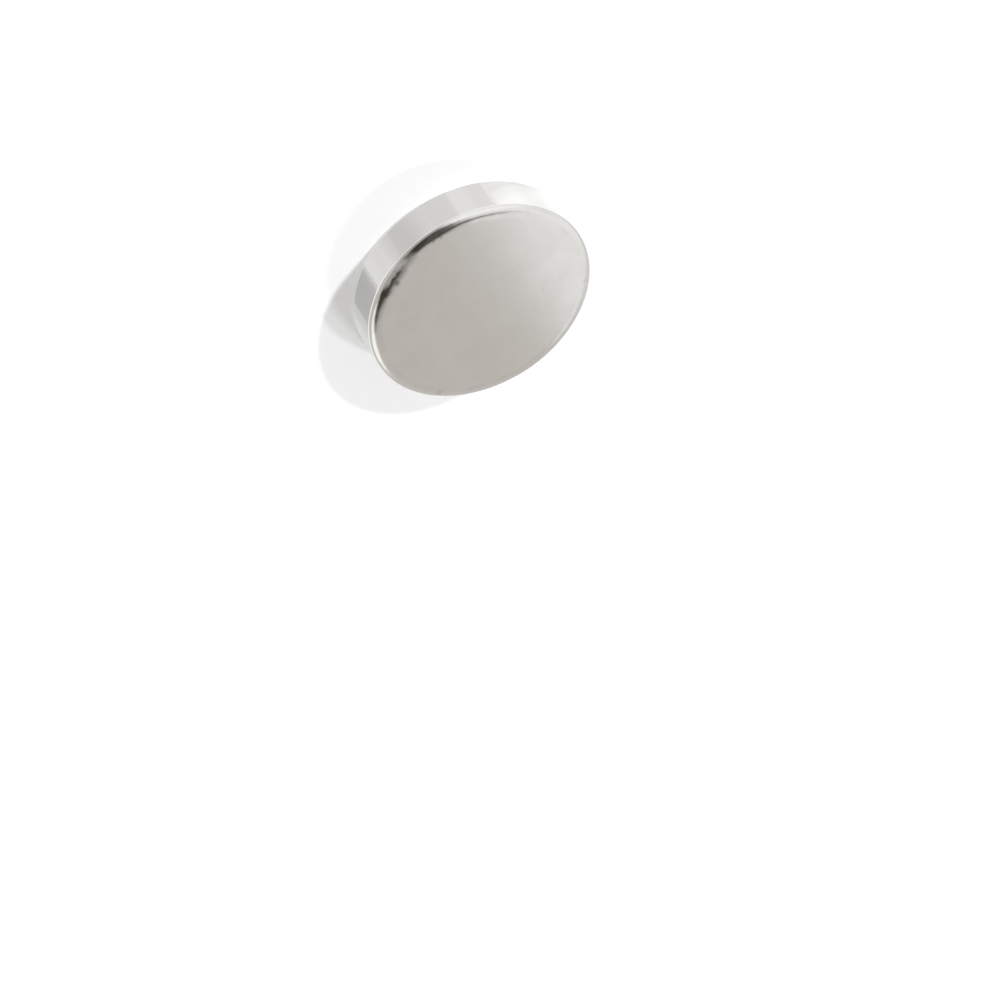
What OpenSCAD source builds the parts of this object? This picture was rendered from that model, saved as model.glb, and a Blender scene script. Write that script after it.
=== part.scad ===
// Disc magnet: one solid sintered disc under a thin plated skin, which counts as part of it.
// Both faces are flat, the rim is straight, and the two edges are tumbled round.
// Millimetres. The disc lies on its lower face, and +Z leaves its upper face.
// The origin is the middle of the lower face.

/* [Disc] */
// Diameter across the rim
disc_d = 8; // [3:0.5:25]
// Thickness between the two flat faces
disc_t = 1.5; // [0.8:0.1:6]

/* [Edges] */
// Radius of the round between each face and the rim
edge_r = 0.2; // [0.05:0.01:0.35]

/* [Hidden] */

// Colour of the nickel skin
plating_colour = "#b9b5ae";

// Half the diameter, which the whole section is measured from
disc_r = disc_d / 2;
// Radius of each flat face, inside its rounded edge
face_r = disc_r - edge_r;
// Height of the straight band of the rim, between the rounded edges
band_h = disc_t - 2 * edge_r;
// Facets in a preview of the disc and of its rounded edges
disc_fn = 180;
edge_fn = 32;

// Half of the disc's section, from its axis out to the rim
module disc_section() {
    square([face_r, disc_t]);
    translate([0, edge_r]) square([disc_r, band_h]);
    for (centre_z = [edge_r, disc_t - edge_r])
        translate([face_r, centre_z]) circle(r = edge_r, $fn = edge_fn);
}

module magnet_disc() {
    color(plating_colour) rotate_extrude($fn = disc_fn) disc_section();
}

magnet_disc();
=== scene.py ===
"""Disc magnet: the looks of one small nickel-plated disc that lies on a pale studio floor.

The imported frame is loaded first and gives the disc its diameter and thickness. The disc is a turned
section made in Geometry Nodes, its skin is one procedural nickel plating, and the stage has a plain
floor, a pale room, three lamps, cards that only the plating mirrors, and the camera. Everything is in
metres.
"""

import math

import bpy
from bpy.props import FloatProperty, FloatVectorProperty, IntProperty, PointerProperty
from mathutils import Matrix, Vector


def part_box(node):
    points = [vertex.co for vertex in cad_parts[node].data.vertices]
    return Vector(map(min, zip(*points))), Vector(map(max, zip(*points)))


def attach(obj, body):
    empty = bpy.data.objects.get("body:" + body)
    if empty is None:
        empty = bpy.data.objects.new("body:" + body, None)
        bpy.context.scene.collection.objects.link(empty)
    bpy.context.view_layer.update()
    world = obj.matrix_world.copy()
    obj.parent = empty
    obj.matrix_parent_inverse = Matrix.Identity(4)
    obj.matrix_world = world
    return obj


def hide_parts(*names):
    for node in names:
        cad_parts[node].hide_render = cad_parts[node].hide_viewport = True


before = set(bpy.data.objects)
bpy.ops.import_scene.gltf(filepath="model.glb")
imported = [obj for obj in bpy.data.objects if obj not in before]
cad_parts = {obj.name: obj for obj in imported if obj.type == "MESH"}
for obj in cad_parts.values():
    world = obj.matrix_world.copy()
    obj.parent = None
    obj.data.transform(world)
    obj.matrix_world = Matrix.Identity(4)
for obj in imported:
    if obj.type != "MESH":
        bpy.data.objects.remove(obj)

bl_info = {
    "name": "Disc Magnet",
    "version": (1, 0, 0),
    "blender": (4, 5, 0),
    "location": "View3D > Sidebar > Magnet",
    "description": "Makes a nickel-plated disc magnet and the pale stage that it lies on",
    "category": "Add Mesh",
}

MM = 0.001
BODY = "root"
NODE = "magnet_disc"

CAD_LOW, CAD_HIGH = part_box(NODE)
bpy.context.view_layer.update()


def linear(hex_colour):
    """Turns an sRGB hex colour into the linear red, green and blue that Blender works in."""
    channels = (int(hex_colour[i:i + 2], 16) / 255 for i in (1, 3, 5))
    return tuple(c / 12.92 if c <= 0.04045 else ((c + 0.055) / 1.055) ** 2.4 for c in channels)


def direction(azimuth, elevation):
    """The unit vector towards a compass angle, counted from +X through +Y, and a height, in degrees."""
    turn, rise = math.radians(azimuth), math.radians(elevation)
    return Vector((math.cos(turn) * math.cos(rise), math.sin(turn) * math.cos(rise), math.sin(rise)))


def add(tree, kind, inputs=None, **settings):
    """Adds a node to a tree, with its settings and with a link or a value for each named input."""
    node = tree.nodes.new(kind)
    for name, value in settings.items():
        setattr(node, name, value)
    for name, value in (inputs or {}).items():
        socket = node.inputs[name]
        if isinstance(value, bpy.types.NodeSocket):
            tree.links.new(value, socket)
        else:
            socket.default_value = value
    return node


def nearness(tree, heading, azimuth, elevation, border, core, most=1.0):
    """How near a heading is to one direction: `most` inside the core angle, 0 outside the border angle."""
    closeness = add(tree, "ShaderNodeVectorMath", {
        0: heading, 1: direction(azimuth, elevation),
    }, operation="DOT_PRODUCT").outputs["Value"]
    return add(tree, "ShaderNodeMapRange", {
        "Value": closeness,
        "From Min": math.cos(math.radians(border)),
        "From Max": math.cos(math.radians(core)),
        "To Max": most,
    }, interpolation_type="SMOOTHSTEP").outputs["Result"]


# ---------------------------------------------------------------------------------------------------
# Sizes and colours that a user would change


class MagnetDiscSettings(bpy.types.PropertyGroup):
    """Sizes of the disc."""

    diameter: FloatProperty(
        name="Diameter",
        description="Width across the rim",
        default=2 * min(CAD_HIGH.x, -CAD_LOW.x, CAD_HIGH.y, -CAD_LOW.y),
        min=2 * MM,
        unit="LENGTH",
        precision=5,
    )
    thickness: FloatProperty(
        name="Thickness",
        description="Distance between the two flat faces",
        default=CAD_HIGH.z - CAD_LOW.z,
        min=0.5 * MM,
        unit="LENGTH",
        precision=5,
    )
    edge_width: FloatProperty(
        name="Edge Width",
        description="How far the tumbled edge reaches in over a face",
        default=0.48 * MM,
        min=0.0,
        unit="LENGTH",
        precision=5,
    )
    edge_height: FloatProperty(
        name="Edge Height",
        description="How far the tumbled edge reaches down the rim",
        default=0.15 * MM,
        min=0.0,
        unit="LENGTH",
        precision=5,
    )
    edge_shape: FloatProperty(
        name="Edge Shape",
        description="2 gives a plain round edge, and more lets it leave the face and the rim more slowly",
        default=2.5,
        min=1.5,
        max=4.0,
    )
    edge_waver: FloatProperty(
        name="Edge Waver",
        description="How much the width of the tumbled edge changes on its way round",
        default=0.08,
        min=0.0,
        max=0.5,
        subtype="FACTOR",
    )
    rub_share: FloatProperty(
        name="Rubs",
        description="How much of the small knocks and sharp places shows in the upper edge",
        default=1.0,
        min=0.0,
        max=1.0,
        subtype="FACTOR",
    )
    turn_steps: IntProperty(
        name="Turn Steps",
        description="Number of faces round the disc",
        default=720,
        min=48,
        max=1440,
    )
    seed: IntProperty(
        name="Seed",
        description="Number that picks one pattern of waver",
        default=4,
    )


class MagnetPlatingSettings(bpy.types.PropertyGroup):
    """Colours and finish of the plating."""

    colour: FloatVectorProperty(
        name="Plating",
        description="Colour of the clean nickel",
        subtype="COLOR",
        size=3,
        min=0.0,
        max=1.0,
        default=linear("#e6e5e3"),
    )
    bloom_colour: FloatVectorProperty(
        name="Bloom",
        description="Colour of the slightly warmer nickel between the clean patches",
        subtype="COLOR",
        size=3,
        min=0.0,
        max=1.0,
        default=linear("#e3e2df"),
    )
    # Painted shade: this colour is dirt only in the marks. It also darkens the ring where a face rolls into
    # its edge and the bands up the rim.
    grime_and_shade_colour: FloatVectorProperty(
        name="Edge Grime",
        description="Colour of the dirt that sits in the marks and where a face rolls into its edge",
        subtype="COLOR",
        size=3,
        min=0.0,
        max=1.0,
        default=linear("#6e665e"),
    )
    roughness: FloatProperty(
        name="Roughness",
        description="Roughness of the plating on the faces and the rim",
        default=0.15,
        min=0.0,
        max=1.0,
        subtype="FACTOR",
    )


class MagnetStageSettings(bpy.types.PropertyGroup):
    """The floor, the lamps and the camera."""

    floor_colour: FloatVectorProperty(
        name="Floor",
        description="Colour of the plain floor",
        subtype="COLOR",
        size=3,
        min=0.0,
        max=1.0,
        default=linear("#f1f1f1"),
    )
    camera_elevation: FloatProperty(
        name="Camera Elevation",
        description="Height of the camera over the disc, as an angle",
        default=math.radians(44.5),
        subtype="ANGLE",
    )
    camera_roll: FloatProperty(
        name="Camera Roll",
        description="Turn of the camera about its own line of sight",
        default=math.radians(147.1),
        subtype="ANGLE",
    )
    camera_distance: FloatProperty(
        name="Camera Distance",
        description="Distance from the upper face to the camera",
        default=598.2 * MM,
        unit="LENGTH",
    )
    key_power: FloatProperty(
        name="Key Power",
        description="Power of the main softbox",
        default=1.46,
        min=0.0,
        unit="POWER",
    )
    fill_power: FloatProperty(
        name="Fill Power",
        description="Power of the two softboxes at the back together",
        default=1.2,
        min=0.0,
        unit="POWER",
    )


# ---------------------------------------------------------------------------------------------------
# Nickel plating


# Marks on the upper edge: angle round the disc and half width in degrees, depth in from the rim and half
# length, then how dirty and how scuffed the mark is, as shares.
MARKS = (
    (304.4, 1.3, 0.46 * MM, 0.13 * MM, 0.40, 0.2),
    (300.5, 5.0, 0.45 * MM, 0.09 * MM, 0.28, 0.2),
    (290.5, 5.0, 0.24 * MM, 0.24 * MM, 0.14, 0.5),
    (300.0, 8.0, 0.13 * MM, 0.10 * MM, 0.00, 0.9),
    (269.4, 0.7, 0.38 * MM, 0.10 * MM, 0.22, 0.0),
    (273.8, 0.6, 0.35 * MM, 0.10 * MM, 0.20, 0.0),
    (42.0, 1.4, 0.22 * MM, 0.10 * MM, 0.15, 0.4),
    (151.0, 1.0, 0.20 * MM, 0.08 * MM, 0.12, 0.4),
)

# Share of the faces' roughness that tumbling leaves on the edge and the rim, then the roughness that full
# bloom and a full scuff add.
RUBBED_SHARE = 0.85
BLOOM_ROUGHNESS = 0.02
SCUFF_ROUGHNESS = 0.35

# How far the soft border of a mark reaches to each side of its ends.
MARK_BORDER = 0.08 * MM

# Painted shade: darker bands that run up the rim stand in for reflections of darker surroundings: angle round
# the disc and half width in degrees, then how dark.
RIM_SHADE_BANDS = (
    (284.0, 10.0, 0.17),
    (264.0, 7.0, 0.07),
    (200.0, 18.0, 0.10),
    (150.0, 14.0, 0.16),
    (96.0, 26.0, 0.20),
    (38.0, 16.0, 0.16),
    (10.0, 18.0, 0.12),
    (325.0, 9.0, 0.06),
)


def add_marks(tree, place, flat, height, radius, thickness, grime_and_shade):
    """Puts the dirty marks on the upper edge. Returns the painted edge shade with the marks' dirt added, and
    how scuffed they are.
    """
    # Fine noise pulls at the borders, so that each mark is a small ragged patch.
    ragged = add(tree, "ShaderNodeTexNoise", {
        "Vector": place, "Scale": 1 / (0.22 * MM), "Detail": 3.0, "Roughness": 0.6,
    }).outputs["Color"]
    pull = add(tree, "ShaderNodeVectorMath", {
        0: ragged, 1: (0.5, 0.5, 0.5),
    }, operation="SUBTRACT").outputs[0]
    pulled = add(tree, "ShaderNodeVectorMath", {
        0: pull, 1: (0.2 * MM, 0.2 * MM, 0.0), 2: flat,
    }, operation="MULTIPLY_ADD").outputs[0]
    heading = add(tree, "ShaderNodeVectorMath", {0: pulled}, operation="NORMALIZE").outputs[0]
    spread = add(tree, "ShaderNodeVectorMath", {0: pulled}, operation="LENGTH").outputs["Value"]
    above = add(tree, "ShaderNodeMapRange", {
        "Value": height, "From Min": thickness - 0.12 * MM, "From Max": thickness - 0.05 * MM,
    }, interpolation_type="SMOOTHSTEP").outputs["Result"]
    scuff = 0.0
    for angle, half_width, depth, half_length, dirt, wear in MARKS:
        beside = nearness(tree, heading, angle, 0.0, half_width * 1.5, half_width * 0.4)
        past = add(tree, "ShaderNodeMath", {0: spread, 1: radius - depth}, operation="SUBTRACT").outputs[0]
        off_centre = add(tree, "ShaderNodeMath", {0: past}, operation="ABSOLUTE").outputs[0]
        within = add(tree, "ShaderNodeMapRange", {
            "Value": off_centre, "From Min": half_length + MARK_BORDER, "From Max": half_length - MARK_BORDER,
        }, interpolation_type="SMOOTHSTEP").outputs["Result"]
        patch = add(tree, "ShaderNodeMath", {0: beside, 1: within}, operation="MULTIPLY").outputs[0]
        mark = add(tree, "ShaderNodeMath", {0: patch, 1: above}, operation="MULTIPLY").outputs[0]
        grime_and_shade = add(tree, "ShaderNodeMath", {0: mark, 1: dirt, 2: grime_and_shade}, operation="MULTIPLY_ADD").outputs[0]
        scuff = add(tree, "ShaderNodeMath", {0: mark, 1: wear, 2: scuff}, operation="MULTIPLY_ADD").outputs[0]
    return grime_and_shade, scuff


def add_painted_rim_shade(tree, place, flat, spread, radius):
    """Painted shade on the rim: faint bands about 1.6 mm wide run up it, and darker ones stand at set places.
    """
    drawn_out = add(tree, "ShaderNodeVectorMath", {
        0: place, 1: (1.0, 1.0, 0.1),
    }, operation="MULTIPLY").outputs[0]
    faint = add(tree, "ShaderNodeTexNoise", {
        "Vector": drawn_out, "Scale": 1 / (1.6 * MM), "Detail": 2.0, "Roughness": 0.5,
    }).outputs["Fac"]
    rim_shade = add(tree, "ShaderNodeMapRange", {
        "Value": faint, "From Min": 0.35, "From Max": 0.65, "To Max": 0.08,
    }, interpolation_type="SMOOTHSTEP").outputs["Result"]
    heading = add(tree, "ShaderNodeVectorMath", {0: flat}, operation="NORMALIZE").outputs[0]
    for angle, half_width, darkness in RIM_SHADE_BANDS:
        band = nearness(tree, heading, angle, 0.0, half_width * 1.5, 0.0, darkness)
        rim_shade = add(tree, "ShaderNodeMath", {0: rim_shade, 1: band}, operation="ADD").outputs[0]
    on_rim = add(tree, "ShaderNodeMapRange", {
        "Value": spread, "From Min": radius - 0.06 * MM, "From Max": radius - 0.01 * MM,
    }).outputs["Result"]
    return add(tree, "ShaderNodeMath", {0: rim_shade, 1: on_rim}, operation="MULTIPLY").outputs[0]


def make_nickel_plating(settings, radius, thickness, edge_width):
    """Bright nickel electroplated over a ground and tumbled disc of sintered metal.

    Nickel is a slightly warm white metal. The bath levels the ground faces almost to a mirror, and
    what is left of the sintered grain blurs the mirror a little and gives the skin a faint mottle.
    Tumbling rubs the edge smoother than the faces. A dark ring where the face rolls off and bands up the rim
    are painted shade.
    """
    material = bpy.data.materials.new("bright_nickel_plate")
    material.use_nodes = True
    tree = material.node_tree
    tree.nodes.clear()

    place = add(tree, "ShaderNodeTexCoord").outputs["Object"]
    split = add(tree, "ShaderNodeSeparateXYZ", {"Vector": place}).outputs
    flat = add(tree, "ShaderNodeCombineXYZ", {"X": split["X"], "Y": split["Y"]}).outputs[0]
    spread = add(tree, "ShaderNodeVectorMath", {0: flat}, operation="LENGTH").outputs["Value"]

    # Patches of bloom about 1.4 mm wide, and the sintered grain under them about 0.12 mm wide.
    bloom = add(tree, "ShaderNodeTexNoise", {
        "Vector": place, "Scale": 1 / (1.4 * MM), "Detail": 3.0, "Roughness": 0.55,
    }).outputs["Fac"]
    grain = add(tree, "ShaderNodeTexNoise", {
        "Vector": place, "Scale": 1 / (0.12 * MM), "Detail": 2.0, "Roughness": 0.5,
    }).outputs["Fac"]
    patch = add(tree, "ShaderNodeMapRange", {
        "Value": bloom, "From Min": 0.35, "From Max": 0.7,
    }, interpolation_type="SMOOTHSTEP").outputs["Result"]
    speck = add(tree, "ShaderNodeMapRange", {
        "Value": grain, "From Min": 0.3, "From Max": 0.75, "To Max": 0.35,
    }).outputs["Result"]
    cover = add(tree, "ShaderNodeMath", {0: patch, 1: speck}, operation="ADD", use_clamp=True).outputs[0]
    metal = add(tree, "ShaderNodeMix", {
        0: cover, 6: (*settings.colour, 1.0), 7: (*settings.bloom_colour, 1.0),
    }, data_type="RGBA").outputs[2]

    # Painted shade: a soft, broken dark ring about 0.35 mm wide, where the face rolls off into the edge,
    # stands in for the dark reflection and shade there.
    inner = radius - edge_width
    past = add(tree, "ShaderNodeMath", {0: spread, 1: inner + 0.15 * MM}, operation="SUBTRACT").outputs[0]
    away = add(tree, "ShaderNodeMath", {0: past}, operation="ABSOLUTE").outputs[0]
    ring = add(tree, "ShaderNodeMapRange", {
        "Value": away, "From Max": 0.18 * MM, "To Min": 1.0, "To Max": 0.0,
    }, interpolation_type="SMOOTHSTEP").outputs["Result"]
    broken = add(tree, "ShaderNodeTexNoise", {
        "Vector": place, "Scale": 1 / (0.5 * MM), "Detail": 4.0, "Roughness": 0.65,
    }).outputs["Fac"]
    gaps = add(tree, "ShaderNodeMapRange", {
        "Value": broken, "From Min": 0.35, "From Max": 0.7, "To Max": 0.12,
    }).outputs["Result"]
    painted_edge_shade = add(tree, "ShaderNodeMath", {0: ring, 1: gaps}, operation="MULTIPLY").outputs[0]
    grime_and_shade, scuff = add_marks(tree, place, flat, split["Z"], radius, thickness, painted_edge_shade)
    # The marks' dirt and the painted edge shade pull the colour towards the grime colour.
    marked_and_shaded = add(tree, "ShaderNodeMix", {
        0: grime_and_shade, 6: metal, 7: (*settings.grime_and_shade_colour, 1.0),
    }, data_type="RGBA", clamp_factor=True).outputs[2]
    # Painted shade: the bands up the rim pull the colour towards the grime colour.
    colour = add(tree, "ShaderNodeMix", {
        0: add_painted_rim_shade(tree, place, flat, spread, radius), 6: marked_and_shaded, 7: (*settings.grime_and_shade_colour, 1.0),
    }, data_type="RGBA").outputs[2]

    # The faces keep the full roughness, and the edge and the rim are rubbed a little smoother.
    rubbed = add(tree, "ShaderNodeMapRange", {
        "Value": spread, "From Min": inner, "From Max": inner + 0.15 * MM,
        "To Min": settings.roughness, "To Max": settings.roughness * RUBBED_SHARE,
    }, interpolation_type="SMOOTHSTEP").outputs["Result"]
    bloomed = add(tree, "ShaderNodeMath", {
        0: cover, 1: BLOOM_ROUGHNESS, 2: rubbed,
    }, operation="MULTIPLY_ADD").outputs[0]
    rough = add(tree, "ShaderNodeMath", {
        0: scuff, 1: SCUFF_ROUGHNESS, 2: bloomed,
    }, operation="MULTIPLY_ADD").outputs[0]

    # Orange peel of the bath, 0.45 mm from crest to crest, and grain too fine to see one by one.
    peel = add(tree, "ShaderNodeTexNoise", {
        "Vector": place, "Scale": 1 / (0.45 * MM), "Detail": 2.0, "Roughness": 0.45,
    }).outputs["Fac"]
    waves = add(tree, "ShaderNodeBump", {
        "Height": peel, "Strength": 1.0, "Distance": 0.0008 * MM,
    }).outputs[0]
    relief = add(tree, "ShaderNodeBump", {
        "Height": grain, "Strength": 1.0, "Distance": 0.0005 * MM, "Normal": waves,
    }).outputs[0]

    skin = add(tree, "ShaderNodeBsdfPrincipled", {
        "Base Color": colour, "Metallic": 1.0, "Roughness": rough, "Normal": relief,
    }).outputs[0]
    add(tree, "ShaderNodeOutputMaterial", {"Surface": skin})
    return material


# ---------------------------------------------------------------------------------------------------
# The turned disc


# Places where the upper edge is rubbed wider or has stayed narrower: angle round the disc and half width
# in degrees, then how much wider and how much deeper the rounding is there, as shares.
RUBS = (
    (335.0, 45.0, 0.18, 0.36),
    (303.0, 12.0, 0.26, 0.20),
    (281.0, 9.0, -0.12, -0.06),
    (262.0, 10.0, 0.06, 0.00),
    (236.0, 26.0, 0.14, 0.00),
    (110.0, 45.0, -0.25, 0.00),
)

# Rows of faces on each side of the disc: up half the rim, round the edge, and in over the face.
RIM_STEPS = 4
EDGE_STEPS = 20
FACE_STEPS = 15

# Points of the turned sheet that are closer than this are joined.
SEAM = 1e-7


def build_disc_tree():
    """Builds the node tree that turns the disc's section round its axis, with a slightly uneven edge."""
    tree = bpy.data.node_groups.new("turned_disc", "GeometryNodeTree")
    sockets = tree.interface
    for name, kind in (
        ("Diameter", "NodeSocketFloat"),
        ("Thickness", "NodeSocketFloat"),
        ("Edge Width", "NodeSocketFloat"),
        ("Edge Height", "NodeSocketFloat"),
        ("Edge Shape", "NodeSocketFloat"),
        ("Edge Waver", "NodeSocketFloat"),
        ("Rub Share", "NodeSocketFloat"),
        ("Turn Steps", "NodeSocketInt"),
        ("Rim Steps", "NodeSocketInt"),
        ("Edge Steps", "NodeSocketInt"),
        ("Face Steps", "NodeSocketInt"),
        ("Seed", "NodeSocketInt"),
        ("Plating", "NodeSocketMaterial"),
    ):
        sockets.new_socket(name, in_out="INPUT", socket_type=kind)
    sockets.new_socket("Disc", in_out="OUTPUT", socket_type="NodeSocketGeometry")
    given = tree.nodes.new("NodeGroupInput").outputs

    radius = add(tree, "ShaderNodeMath", {0: given["Diameter"], 1: 0.5}, operation="MULTIPLY").outputs[0]
    half = add(tree, "ShaderNodeMath", {0: given["Thickness"], 1: 0.5}, operation="MULTIPLY").outputs[0]

    # A unit sheet has one row for each line round the disc and one column for each step of the turn.
    up_to_face = add(tree, "ShaderNodeMath", {
        0: given["Rim Steps"], 1: given["Edge Steps"],
    }, operation="ADD").outputs[0]
    to_middle = add(tree, "ShaderNodeMath", {
        0: up_to_face, 1: given["Face Steps"],
    }, operation="ADD").outputs[0]
    columns = add(tree, "ShaderNodeMath", {0: given["Turn Steps"], 1: 1.0}, operation="ADD").outputs[0]
    rows = add(tree, "ShaderNodeMath", {
        0: to_middle, 1: 2.0, 2: 1.0,
    }, operation="MULTIPLY_ADD").outputs[0]
    sheet = add(tree, "GeometryNodeMeshGrid", {
        "Size X": 1.0, "Size Y": 1.0, "Vertices X": columns, "Vertices Y": rows,
    }).outputs["Mesh"]
    position = add(tree, "GeometryNodeInputPosition").outputs[0]
    spot = add(tree, "ShaderNodeSeparateXYZ", {0: position}).outputs
    turn = add(tree, "ShaderNodeMath", {
        0: spot["X"], 1: math.tau, 2: math.pi,
    }, operation="MULTIPLY_ADD").outputs[0]
    rise = add(tree, "ShaderNodeMath", {0: spot["Y"], 1: 2.0}, operation="MULTIPLY").outputs[0]
    side = add(tree, "ShaderNodeMath", {0: rise}, operation="SIGN").outputs[0]
    along = add(tree, "ShaderNodeMath", {0: rise}, operation="ABSOLUTE").outputs[0]
    rim_end = add(tree, "ShaderNodeMath", {
        0: given["Rim Steps"], 1: to_middle,
    }, operation="DIVIDE").outputs[0]
    edge_end = add(tree, "ShaderNodeMath", {0: up_to_face, 1: to_middle}, operation="DIVIDE").outputs[0]

    # Each side of the section runs up the rim, round the edge and in over the face to the axis, where
    # the rows are wider apart than they are near the edge.
    up_rim = add(tree, "ShaderNodeMapRange", {"Value": along, "From Max": rim_end}).outputs["Result"]
    round_edge = add(tree, "ShaderNodeMapRange", {
        "Value": along, "From Min": rim_end, "From Max": edge_end, "To Max": math.pi / 2,
    }).outputs["Result"]
    over_face = add(tree, "ShaderNodeMapRange", {"Value": along, "From Min": edge_end}).outputs["Result"]
    crowded = add(tree, "ShaderNodeMath", {0: over_face, 1: 1.8}, operation="POWER").outputs[0]
    to_axis = add(tree, "ShaderNodeMath", {0: 1.0, 1: crowded}, operation="SUBTRACT").outputs[0]

    # Tumbling leaves the edge a little wider in some places than in others.
    cosine = add(tree, "ShaderNodeMath", {0: turn}, operation="COSINE").outputs[0]
    sine = add(tree, "ShaderNodeMath", {0: turn}, operation="SINE").outputs[0]
    loop_x = add(tree, "ShaderNodeMath", {0: cosine, 1: 1.7}, operation="MULTIPLY").outputs[0]
    loop_y = add(tree, "ShaderNodeMath", {0: sine, 1: 1.7}, operation="MULTIPLY").outputs[0]
    loop_z = add(tree, "ShaderNodeMath", {
        0: side, 1: 5.0, 2: given["Seed"],
    }, operation="MULTIPLY_ADD").outputs[0]
    loop = add(tree, "ShaderNodeCombineXYZ", {"X": loop_x, "Y": loop_y, "Z": loop_z}).outputs[0]
    tumbling = add(tree, "ShaderNodeTexNoise", {
        "Vector": loop, "Scale": 1.0, "Detail": 3.0, "Roughness": 0.6,
    }).outputs["Fac"]
    swing = add(tree, "ShaderNodeMath", {0: tumbling, 1: 4.0, 2: -2.0}, operation="MULTIPLY_ADD").outputs[0]
    waver = add(tree, "ShaderNodeMath", {
        0: swing, 1: given["Edge Waver"],
    }, operation="MULTIPLY").outputs[0]
    wider = add(tree, "ShaderNodeMath", {0: waver, 1: 1.0}, operation="ADD").outputs[0]
    deeper = wider

    # Rubs change the upper edge alone.
    upper = add(tree, "ShaderNodeMath", {0: side, 1: 0.0}, operation="GREATER_THAN").outputs[0]
    on_top = add(tree, "ShaderNodeMath", {0: upper, 1: given["Rub Share"]}, operation="MULTIPLY").outputs[0]
    for angle, half_width, more_width, more_depth in RUBS:
        past = add(tree, "ShaderNodeMath", {0: turn, 1: math.radians(angle)}, operation="SUBTRACT").outputs[0]
        closeness = add(tree, "ShaderNodeMath", {0: past}, operation="COSINE").outputs[0]
        rubbed = add(tree, "ShaderNodeMapRange", {
            "Value": closeness, "From Min": math.cos(math.radians(half_width)),
        }, interpolation_type="SMOOTHSTEP").outputs["Result"]
        share = add(tree, "ShaderNodeMath", {0: rubbed, 1: on_top}, operation="MULTIPLY").outputs[0]
        wider = add(tree, "ShaderNodeMath", {
            0: share, 1: more_width, 2: wider,
        }, operation="MULTIPLY_ADD").outputs[0]
        deeper = add(tree, "ShaderNodeMath", {
            0: share, 1: more_depth, 2: deeper,
        }, operation="MULTIPLY_ADD").outputs[0]
    width = add(tree, "ShaderNodeMath", {
        0: given["Edge Width"], 1: wider,
    }, operation="MULTIPLY").outputs[0]
    depth = add(tree, "ShaderNodeMath", {
        0: given["Edge Height"], 1: deeper,
    }, operation="MULTIPLY").outputs[0]

    # The edge is a stretched round, flattened a little where it leaves the face and the rim.
    power = add(tree, "ShaderNodeMath", {0: 2.0, 1: given["Edge Shape"]}, operation="DIVIDE").outputs[0]
    outward = add(tree, "ShaderNodeMath", {0: round_edge}, operation="COSINE").outputs[0]
    outward = add(tree, "ShaderNodeMath", {0: outward, 1: 0.0}, operation="MAXIMUM").outputs[0]
    outward = add(tree, "ShaderNodeMath", {0: outward, 1: power}, operation="POWER").outputs[0]
    upward = add(tree, "ShaderNodeMath", {0: round_edge}, operation="SINE").outputs[0]
    upward = add(tree, "ShaderNodeMath", {0: upward, 1: 0.0}, operation="MAXIMUM").outputs[0]
    upward = add(tree, "ShaderNodeMath", {0: upward, 1: power}, operation="POWER").outputs[0]
    flat_radius = add(tree, "ShaderNodeMath", {0: radius, 1: width}, operation="SUBTRACT").outputs[0]
    rounding = add(tree, "ShaderNodeMath", {0: width, 1: outward}, operation="MULTIPLY").outputs[0]
    reach = add(tree, "ShaderNodeMath", {
        0: flat_radius, 1: to_axis, 2: rounding,
    }, operation="MULTIPLY_ADD").outputs[0]
    rim_height = add(tree, "ShaderNodeMath", {0: half, 1: depth}, operation="SUBTRACT").outputs[0]
    on_rim = add(tree, "ShaderNodeMath", {0: rim_height, 1: up_rim}, operation="MULTIPLY").outputs[0]
    on_edge = add(tree, "ShaderNodeMath", {0: depth, 1: upward}, operation="MULTIPLY").outputs[0]
    height = add(tree, "ShaderNodeMath", {0: on_rim, 1: on_edge}, operation="ADD").outputs[0]
    place_x = add(tree, "ShaderNodeMath", {0: reach, 1: cosine}, operation="MULTIPLY").outputs[0]
    place_y = add(tree, "ShaderNodeMath", {0: reach, 1: sine}, operation="MULTIPLY").outputs[0]
    place_z = add(tree, "ShaderNodeMath", {
        0: side, 1: height, 2: half,
    }, operation="MULTIPLY_ADD").outputs[0]
    place = add(tree, "ShaderNodeCombineXYZ", {"X": place_x, "Y": place_y, "Z": place_z}).outputs[0]
    turned = add(tree, "GeometryNodeSetPosition", {"Geometry": sheet, "Position": place}).outputs[0]
    closed = add(tree, "GeometryNodeMergeByDistance", {"Geometry": turned, "Distance": SEAM}).outputs[0]

    smooth = add(tree, "GeometryNodeSetShadeSmooth", {"Geometry": closed}).outputs[0]
    real = add(tree, "GeometryNodeRealizeInstances", {"Geometry": smooth}).outputs[0]
    plated = add(tree, "GeometryNodeSetMaterial", {"Geometry": real, "Material": given["Plating"]}).outputs[0]
    tree.links.new(plated, tree.nodes.new("NodeGroupOutput").inputs["Disc"])
    return tree


def mesh_from_tree(name, tree, values):
    """Runs a node tree with the given inputs and returns its result as a plain mesh object."""
    scene = bpy.context.scene
    holder = bpy.data.objects.new(name + "_holder", bpy.data.meshes.new(name + "_holder"))
    scene.collection.objects.link(holder)
    modifier = holder.modifiers.new("build", "NODES")
    modifier.node_group = tree
    for item in tree.interface.items_tree:
        if item.item_type == "SOCKET" and item.in_out == "INPUT":
            modifier[item.identifier] = values[item.name]
    bpy.context.view_layer.update()
    evaluated = holder.evaluated_get(bpy.context.evaluated_depsgraph_get())
    mesh = bpy.data.meshes.new_from_object(evaluated)
    mesh.name = name
    bpy.data.objects.remove(holder)
    piece = bpy.data.objects.new(name, mesh)
    scene.collection.objects.link(piece)
    return piece


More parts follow.
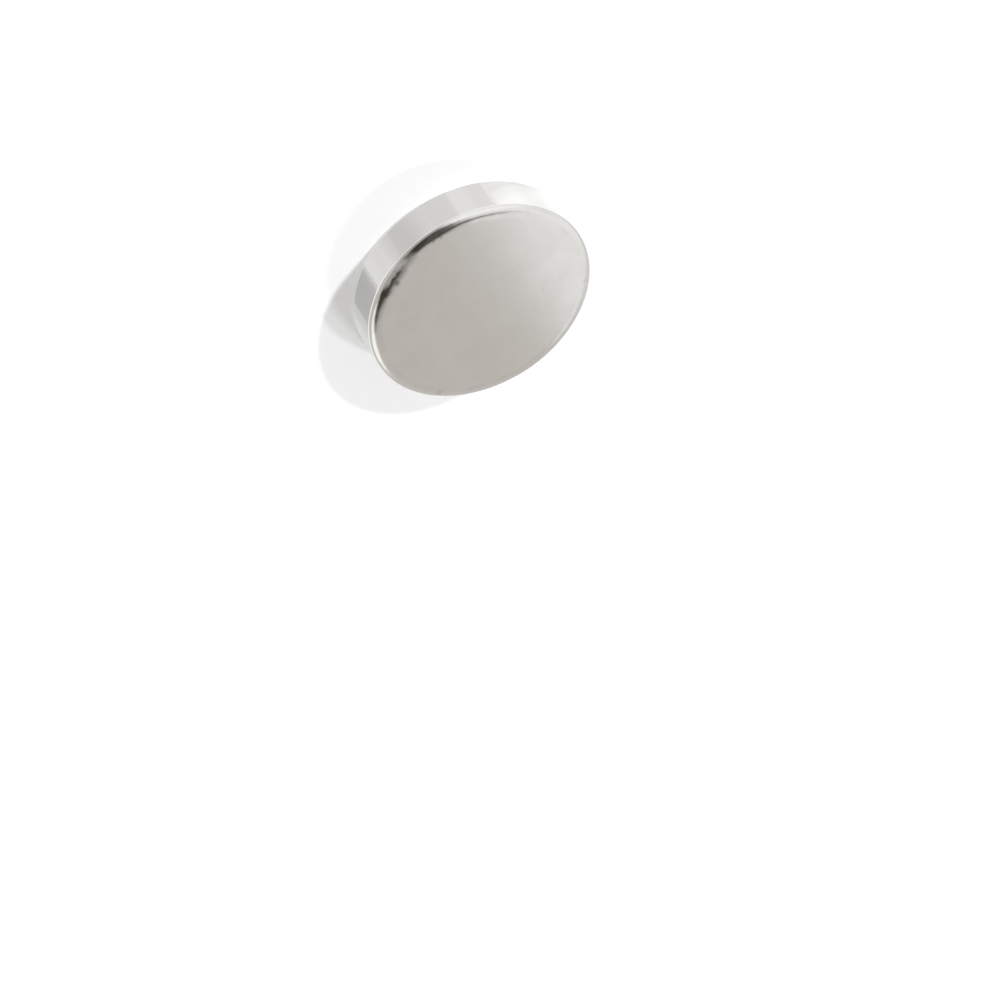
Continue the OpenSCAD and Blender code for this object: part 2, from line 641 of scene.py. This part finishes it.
class MAGNET_OT_add_disc(bpy.types.Operator):
    """Add the plated disc in the place of its construction model"""

    bl_idname = "magnet.add_disc"
    bl_label = "Add Disc"
    bl_options = {"REGISTER", "UNDO"}

    def execute(self, context):
        sizes = context.scene.magnet_disc
        radius = sizes.diameter / 2
        plating = make_nickel_plating(
            context.scene.magnet_plating, radius, sizes.thickness, sizes.edge_width
        )
        piece = mesh_from_tree("plated_disc", build_disc_tree(), {
            "Diameter": sizes.diameter,
            "Thickness": sizes.thickness,
            "Edge Width": sizes.edge_width,
            "Edge Height": sizes.edge_height,
            "Edge Shape": sizes.edge_shape,
            "Edge Waver": sizes.edge_waver,
            "Rub Share": sizes.rub_share,
            "Turn Steps": sizes.turn_steps,
            "Rim Steps": RIM_STEPS,
            "Edge Steps": EDGE_STEPS,
            "Face Steps": FACE_STEPS,
            "Seed": sizes.seed,
            "Plating": plating,
        })
        if not piece.data.polygons:
            raise RuntimeError("the node tree gave no disc")
        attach(piece, BODY)
        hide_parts(NODE)
        return {"FINISHED"}


# ---------------------------------------------------------------------------------------------------
# The stage


# Light that is added to the floor where the eye or the plating looks at it, which lifts it to white.
FLOOR_LIFT = 0.3

# Half the width of the floor, and how far it lies under the disc.
FLOOR_RADIUS = 0.6
FLOOR_DROP = 0.002 * MM


def looked_at(tree):
    """1 where the eye, a mirror or glass looks, and 0 for light on its way to a matt surface."""
    path = add(tree, "ShaderNodeLightPath").outputs
    eye_or_mirror = add(tree, "ShaderNodeMath", {
        0: path["Is Camera Ray"], 1: path["Is Glossy Ray"],
    }, operation="MAXIMUM").outputs[0]
    return add(tree, "ShaderNodeMath", {
        0: eye_or_mirror, 1: path["Is Transmission Ray"],
    }, operation="MAXIMUM").outputs[0]


def make_floor_material(colour):
    """Plain matt paper. What looks at it sees it lifted to white, and it still takes the shadow."""
    material = bpy.data.materials.new("matt_paper")
    material.use_nodes = True
    tree = material.node_tree
    tree.nodes.clear()
    paper = add(tree, "ShaderNodeBsdfDiffuse", {"Color": (*colour, 1.0)}).outputs[0]
    lift = add(tree, "ShaderNodeEmission", {
        "Color": (1.0, 1.0, 1.0, 1.0), "Strength": FLOOR_LIFT,
    }).outputs[0]
    lifted = add(tree, "ShaderNodeAddShader", {0: paper, 1: lift}).outputs[0]
    shown = add(tree, "ShaderNodeMixShader", {0: looked_at(tree), 1: paper, 2: lifted}).outputs[0]
    add(tree, "ShaderNodeOutputMaterial", {"Surface": shown})
    return material


def make_floor(colour):
    """A round sheet of paper, a hair under the disc and far wider than any view of it."""
    level = Vector((0.0, 0.0, -FLOOR_DROP))
    border = [direction(angle, 0.0) * FLOOR_RADIUS + level for angle in range(0, 360, 5)]
    mesh = bpy.data.meshes.new("floor")
    mesh.from_pydata(border, [], [list(range(len(border)))])
    mesh.materials.append(make_floor_material(colour))
    floor = bpy.data.objects.new("floor", mesh)
    bpy.context.scene.collection.objects.link(floor)


# Tones of the room by height over the floor, in degrees: white up to the foot of the walls and a
# slightly warm grey above it.
ROOM = (
    (-90, "#ffffff"), (1, "#ffffff"), (6, "#d2d0cd"), (30, "#d0cdc9"), (45, "#cec9c4"), (65, "#c3beb9"),
    (90, "#aba6a0"),
)

# Panels in the room: compass angle and height of the middle, half width and softness of the border, all
# in degrees, then colour and strength. The first two are dark: a hatch nearly overhead and a small one
# beside it. A later panel covers an earlier one.
PANELS = (
    (100.0, 78.5, 24.0, 7.0, "#3a3733", 1.0),
    (60.0, 57.0, 5.0, 4.0, "#3a3733", 1.0),
    (110.0, 60.0, 3.0, 6.0, "#a6a29e", 1.0),
    (142.0, 25.0, 32.0, 14.0, "#e4e4e5", 1.0),
    (50.0, 39.0, 7.0, 7.0, "#fffefa", 1.2),
    (33.0, 48.0, 4.0, 6.0, "#fffefa", 1.1),
    (218.0, 25.0, 34.0, 12.0, "#efefef", 1.0),
    (168.0, 30.0, 18.0, 12.0, "#fafafa", 1.0),
    (212.0, 47.0, 26.0, 10.0, "#ffffff", 1.05),
    (126.0, 61.5, 9.0, 6.0, "#fcfcfc", 1.0),
    (165.0, 70.5, 12.0, 6.0, "#ffffff", 1.1),
    (227.0, 72.5, 6.0, 5.0, "#ffffff", 1.1),
    (326.0, 50.0, 8.0, 8.0, "#ececec", 1.0),
    (290.0, 32.0, 14.0, 14.0, "#b4b2b0", 1.0),
)

# Share of the walls' light that reaches the floor.
WALL_SHARE = 0.45


def make_room():
    """A pale room whose tone depends on the direction alone, with a few soft panels."""
    world = bpy.data.worlds.new("room")
    world.use_nodes = True
    tree = world.node_tree
    tree.nodes.clear()
    sight = add(tree, "ShaderNodeTexCoord").outputs["Generated"]
    height = add(tree, "ShaderNodeSeparateXYZ", {0: sight}).outputs["Z"]
    angle = add(tree, "ShaderNodeMath", {0: height}, operation="ARCSINE").outputs[0]
    share = add(tree, "ShaderNodeMapRange", {
        "Value": angle, "From Min": -math.pi / 2, "From Max": math.pi / 2,
    }).outputs["Result"]
    walls = add(tree, "ShaderNodeValToRGB", {"Fac": share})
    ramp = walls.color_ramp
    ramp.interpolation = "EASE"
    while len(ramp.elements) < len(ROOM):
        ramp.elements.new(0.5)
    for stop, (level, colour) in zip(ramp.elements, ROOM):
        stop.position = (level + 90) / 180
        stop.color = (*linear(colour), 1.0)
    shown = walls.outputs["Color"]
    for azimuth, elevation, half_width, softness, colour, strength in PANELS:
        inside = nearness(tree, sight, azimuth, elevation, half_width + softness, half_width)
        shown = add(tree, "ShaderNodeMix", {
            0: inside, 6: shown, 7: (*(strength * c for c in linear(colour)), 1.0),
        }, data_type="RGBA").outputs[2]

    # The eye and the plating see the walls as they are.
    strength = add(tree, "ShaderNodeMapRange", {
        "Value": looked_at(tree), "To Min": WALL_SHARE, "To Max": 1.0,
    }).outputs["Result"]
    light = add(tree, "ShaderNodeBackground", {"Color": shown, "Strength": strength}).outputs[0]
    add(tree, "ShaderNodeOutputWorld", {"Surface": light})
    bpy.context.scene.world = world


# Softboxes burn a little cooler than the walls. All stand at one height and distance.
LAMP_COLOUR = (0.97, 0.985, 1.0)
LAMP_ELEVATION = 35.0
LAMP_DISTANCE = 0.45

# Share of the fill power that goes to the smaller of the two softboxes at the back.
BACK_SHARE = 0.52


def add_softbox(name, azimuth, width, power):
    """A square softbox that lights the floor, so the disc throws a shadow. The plating doesn't mirror it."""
    light = bpy.data.lights.new(name, "AREA")
    light.shape = "SQUARE"
    light.size = width
    light.energy = power
    light.color = LAMP_COLOUR
    lamp = bpy.data.objects.new(name, light)
    out = direction(azimuth, LAMP_ELEVATION)
    facing = out.to_track_quat("Z", "Y").to_matrix().to_4x4()
    lamp.matrix_world = Matrix.Translation(out * LAMP_DISTANCE) @ facing
    lamp.visible_glossy = False
    bpy.context.scene.collection.objects.link(lamp)


def add_card(name, points, faces, tone):
    """A card that glows at its tone and that only the plating mirrors."""
    mesh = bpy.data.meshes.new(name)
    mesh.from_pydata(points, [], faces)
    material = bpy.data.materials.new(name)
    material.use_nodes = True
    tree = material.node_tree
    tree.nodes.clear()
    glow = add(tree, "ShaderNodeEmission", {"Color": (1.0, 1.0, 1.0, 1.0), "Strength": tone}).outputs[0]
    add(tree, "ShaderNodeOutputMaterial", {"Surface": glow})
    mesh.materials.append(material)
    card = bpy.data.objects.new(name, mesh)
    card.visible_camera = False
    card.visible_diffuse = False
    card.visible_shadow = False
    bpy.context.scene.collection.objects.link(card)


def add_square_card(name, azimuth, elevation, distance, left, right, below, above, tone):
    """A card square to a line out from the disc. Its reach is counted from that line."""
    out = direction(azimuth, elevation)
    across = out.cross(Vector((0.0, 0.0, 1.0))).normalized()
    up = across.cross(out)
    corners = ((-left, -below), (right, -below), (right, above), (-left, above))
    add_card(name, [out * distance + across * x + up * y for x, y in corners], [(0, 1, 2, 3)], tone)


# Glowing cards that lie on the floor at the foot of the disc, a painted reflection of light and shade that
# the rim mirrors in place of the floor: where each one starts and ends round the disc, in degrees, then its
# tone.
FLOOR_CARDS = (
    ("white_border_card", 236.0, 238.0, 1.06),
    ("pale_card", 238.0, 256.0, 0.95),
    ("grey_card", 256.0, 290.0, 0.875),
    ("pale_grey_card", 290.0, 310.2, 0.93),
    ("dark_border_card", 310.2, 312.2, 0.74),
    ("dark_card", 312.2, 332.0, 0.59),
    ("mid_card", 332.0, 340.0, 0.75),
    ("light_card", 340.0, 352.0, 0.83),
)

# The side of the disc that the floor cards face, as an angle round it, and about the step between two
# points of a card's curved sides. Then how far a card reaches out and in under the edge, and its level.
FRONT = 270.0
CARD_STEP = 3.0
CARD_REACH = 2.2 * MM
CARD_TUCK = 0.15 * MM
CARD_LEVEL = 0.004 * MM


def add_floor_card(name, start, end, tone):
    """A card on the floor, whose ends run out so that the rim shows them upright to an eye in front."""
    steps = round((end - start) / CARD_STEP)
    angles = [start + (end - start) * step / steps for step in range(steps + 1)]
    level = Vector((0.0, 0.0, CARD_LEVEL))
    feet = [direction(angle, 0.0) * CAD_HIGH.x + level for angle in angles]
    under = [foot - direction(angle, 0.0) * CARD_TUCK for foot, angle in zip(feet, angles)]
    away = [foot + direction(2 * angle - FRONT, 0.0) * CARD_REACH for foot, angle in zip(feet, angles)]
    count = len(angles)
    faces = [
        (i, i + 1, i + 1 + count, i + count)
        for row in (0, count)
        for i in range(row, row + count - 1)
    ]
    add_card(name, under + feet + away, faces, tone)


# The lens and its sensor in millimetres, and where it aims from the middle of the upper face.
LENS = 648.0
SENSOR = 36.0
AIM_RIGHT = 0.63 * MM
AIM_DOWN = 6.56 * MM


def add_camera(settings, target):
    """A long lens that looks down on the disc, rolled so that the near side of the rim comes out on top."""
    rise = settings.camera_elevation
    back = Vector((0.0, -math.cos(rise), math.sin(rise)))
    level = Vector((1.0, 0.0, 0.0))
    upright = back.cross(level)
    roll = settings.camera_roll
    right = math.cos(roll) * level + math.sin(roll) * upright
    up = math.cos(roll) * upright - math.sin(roll) * level
    place = target + back * settings.camera_distance
    aim = target + right * AIM_RIGHT - up * AIM_DOWN
    axis_z = (place - aim).normalized()
    axis_x = up.cross(axis_z).normalized()
    axis_y = axis_z.cross(axis_x)
    lens = bpy.data.cameras.new("camera")
    lens.lens = LENS
    lens.sensor_width = SENSOR
    lens.clip_start = 0.01
    lens.clip_end = 10.0
    camera = bpy.data.objects.new("camera", lens)
    turn = Matrix((axis_x, axis_y, axis_z)).transposed().to_4x4()
    camera.matrix_world = Matrix.Translation(place) @ turn
    bpy.context.scene.collection.objects.link(camera)
    bpy.context.scene.camera = camera


class MAGNET_OT_set_stage(bpy.types.Operator):
    """Lay the floor, light the room and place the camera"""

    bl_idname = "magnet.set_stage"
    bl_label = "Set Stage"
    bl_options = {"REGISTER", "UNDO"}

    def execute(self, context):
        settings = context.scene.magnet_stage
        make_floor(settings.floor_colour)
        make_room()
        add_softbox("key", azimuth=204.0, width=0.04, power=settings.key_power)
        add_softbox("back", azimuth=111.0, width=0.04, power=settings.fill_power * BACK_SHARE)
        add_softbox("far_back", azimuth=96.0, width=0.08, power=settings.fill_power * (1 - BACK_SHARE))
        add_square_card(
            "side_card", azimuth=90.0, elevation=44.5, distance=38 * MM,
            left=60 * MM, right=-1.92 * MM, below=5.5 * MM, above=10 * MM, tone=0.98,
        )
        for card in FLOOR_CARDS:
            add_floor_card(*card)
        add_camera(settings, Vector((0.0, 0.0, CAD_HIGH.z)))
        context.scene.view_settings.view_transform = "Standard"
        return {"FINISHED"}


class MAGNET_PT_sidebar(bpy.types.Panel):
    """Lists the pieces and their settings in the sidebar of the 3D view"""

    bl_idname = "MAGNET_PT_sidebar"
    bl_label = "Disc Magnet"
    bl_space_type = "VIEW_3D"
    bl_region_type = "UI"
    bl_category = "Magnet"

    def draw(self, context):
        layout = self.layout
        layout.use_property_split = True
        for settings, operator in (
            (context.scene.magnet_disc, MAGNET_OT_add_disc),
            (context.scene.magnet_plating, None),
            (context.scene.magnet_stage, MAGNET_OT_set_stage),
        ):
            box = layout.box()
            for name in settings.__annotations__:
                box.prop(settings, name)
            if operator:
                box.operator(operator.bl_idname)


CLASSES = (
    MagnetDiscSettings,
    MagnetPlatingSettings,
    MagnetStageSettings,
    MAGNET_OT_add_disc,
    MAGNET_OT_set_stage,
    MAGNET_PT_sidebar,
)


def register():
    for cls in CLASSES:
        bpy.utils.register_class(cls)
    bpy.types.Scene.magnet_disc = PointerProperty(type=MagnetDiscSettings)
    bpy.types.Scene.magnet_plating = PointerProperty(type=MagnetPlatingSettings)
    bpy.types.Scene.magnet_stage = PointerProperty(type=MagnetStageSettings)


def unregister():
    del bpy.types.Scene.magnet_stage
    del bpy.types.Scene.magnet_plating
    del bpy.types.Scene.magnet_disc
    for cls in reversed(CLASSES):
        bpy.utils.unregister_class(cls)


def main():
    """Makes the disc and the stage."""
    register()
    bpy.ops.magnet.add_disc()
    bpy.ops.magnet.set_stage()


if __name__ == "__main__":
    main()
